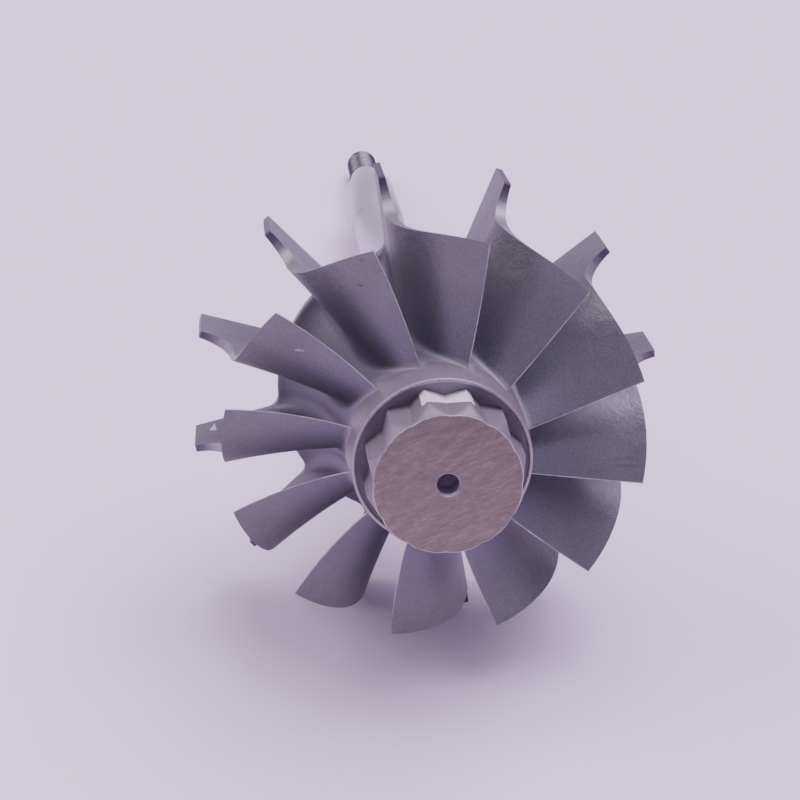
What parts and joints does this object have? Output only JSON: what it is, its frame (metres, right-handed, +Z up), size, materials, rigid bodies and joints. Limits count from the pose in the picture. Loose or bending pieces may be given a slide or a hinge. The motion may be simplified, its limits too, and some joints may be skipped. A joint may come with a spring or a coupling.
{
  "type": "turbocharger turbine wheel",
  "caption": "Cast radial turbine wheel with curved blades on a scalloped hub, a twelve-point nose boss and a welded steel shaft with bearing journals and a threaded end.",
  "frame": {"origin": "on the floor under the middle of the rotor's length, as it lies at rest", "axes": "+Z up, +Y along the rotor from its nose to its thread, +X to the right as seen from the nose"},
  "size_m": [0.0676, 0.1708, 0.0676],
  "materials": {
    "cast_nickel_alloy": "matte grey investment casting with a fine grain",
    "machined_nose": "ground flat face with fine diagonal marks",
    "weld_metal": "heat-tinted low weld bead",
    "ground_steel": "fine ground satin",
    "threaded_steel": "dark oiled thread"
  },
  "bodies": {
    "root": {"nose_boss": "machined_nose", "hub": "cast_nickel_alloy", "back_disc": "cast_nickel_alloy", "blade_01": "cast_nickel_alloy", "blade_02": "cast_nickel_alloy", "blade_03": "cast_nickel_alloy", "blade_04": "cast_nickel_alloy", "blade_05": "cast_nickel_alloy", "blade_06": "cast_nickel_alloy", "blade_07": "cast_nickel_alloy", "blade_08": "cast_nickel_alloy", "blade_09": "cast_nickel_alloy", "blade_10": "cast_nickel_alloy", "blade_11": "cast_nickel_alloy", "blade_12": "cast_nickel_alloy", "weld_seam": "weld_metal", "seal_collar": "ground_steel", "shaft": "ground_steel", "threaded_end": "threaded_steel"}
  },
  "joints": []
}
